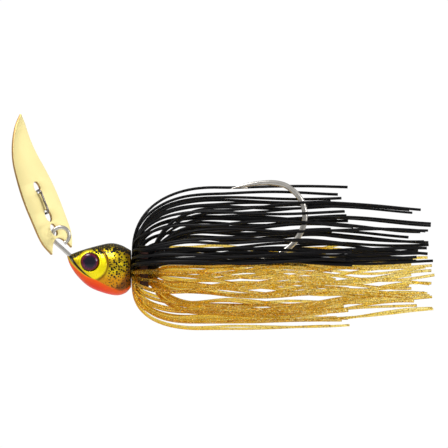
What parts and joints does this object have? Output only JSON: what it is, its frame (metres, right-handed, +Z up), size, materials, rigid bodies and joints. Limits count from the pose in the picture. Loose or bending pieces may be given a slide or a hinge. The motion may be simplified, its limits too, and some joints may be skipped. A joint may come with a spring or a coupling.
{
  "type": "bladed vibrating jig",
  "caption": "Fishing lure with a painted fish head moulded on a wire hook, a flat blade swinging on the hook's eye ring, a line snap and a silicone skirt.",
  "frame": {"origin": "centre of the hook's eye ring, the ring that the blade swings on", "axes": "+X towards the tail, along the hook's shank; +Z up, towards the hook's point; +Y across the lure, away from the side called near"},
  "size_m": [0.1052, 0.0308, 0.054],
  "materials": {
    "hook_wire": "bright nickel plated wire, warm grey",
    "head_paint": "airbrushed gold foil sides, olive-black back with black dots, orange-red belly, under a clear coat",
    "eye_foil": "printed foil disc, black pupil in a dark red and violet iris",
    "eye_lens": "clear domed resin",
    "collar_rubber": "matt dark red-brown rubber ring",
    "skirt_black": "black silicone, soft sheen",
    "skirt_gold": "translucent amber silicone filled with gold and black glitter",
    "blade_gold": "pale gold plate, fine satin",
    "snap_wire": "dark nickel plated spring wire"
  },
  "bodies": {
    "jig": {"hook": "hook_wire", "head": "head_paint", "eye_iris_near": "eye_foil", "eye_lens_near": "eye_lens", "eye_iris_far": "eye_foil", "eye_lens_far": "eye_lens", "skirt_collar": "collar_rubber", "skirt_black_01": "skirt_black", "skirt_black_02": "skirt_black", "skirt_black_03": "skirt_black", "skirt_black_04": "skirt_black", "skirt_black_05": "skirt_black", "skirt_black_06": "skirt_black", "skirt_black_07": "skirt_black", "skirt_black_08": "skirt_black", "skirt_black_09": "skirt_black", "skirt_black_10": "skirt_black", "skirt_black_11": "skirt_black", "skirt_black_12": "skirt_black", "skirt_black_13": "skirt_black", "skirt_black_14": "skirt_black", "skirt_black_15": "skirt_black", "skirt_black_16": "skirt_black", "skirt_black_17": "skirt_black", "skirt_black_18": "skirt_black", "skirt_black_19": "skirt_black", "skirt_black_20": "skirt_black", "skirt_black_21": "skirt_black", "skirt_black_22": "skirt_black", "skirt_gold_01": "skirt_gold", "skirt_gold_02": "skirt_gold", "skirt_gold_03": "skirt_gold", "skirt_gold_04": "skirt_gold", "skirt_gold_05": "skirt_gold", "skirt_gold_06": "skirt_gold", "skirt_gold_07": "skirt_gold", "skirt_gold_08": "skirt_gold", "skirt_gold_09": "skirt_gold", "skirt_gold_10": "skirt_gold", "skirt_gold_11": "skirt_gold", "skirt_gold_12": "skirt_gold", "skirt_gold_13": "skirt_gold", "skirt_gold_14": "skirt_gold", "skirt_gold_15": "skirt_gold", "skirt_gold_16": "skirt_gold", "skirt_gold_17": "skirt_gold", "skirt_gold_18": "skirt_gold", "skirt_gold_19": "skirt_gold", "skirt_gold_20": "skirt_gold", "skirt_gold_21": "skirt_gold", "skirt_gold_22": "skirt_gold", "skirt_gold_23": "skirt_gold", "skirt_gold_24": "skirt_gold", "skirt_gold_25": "skirt_gold", "skirt_gold_26": "skirt_gold"},
    "blade": {"blade": "blade_gold"},
    "snap": {"line_snap": "snap_wire"}
  },
  "joints": [
    {"name": "blade_swing", "type": "hinge", "parent": "jig", "child": "blade", "pos_m": [0, 0, 0], "axis": [0, -1, 0], "range_deg": [-60, 95]},
    {"name": "snap_swing", "type": "hinge", "parent": "blade", "child": "snap", "pos_m": [-0.00117, -0.0003, 0.00137], "axis": [-0.37, 0, 0.929], "range_deg": [0, 90]}
  ]
}
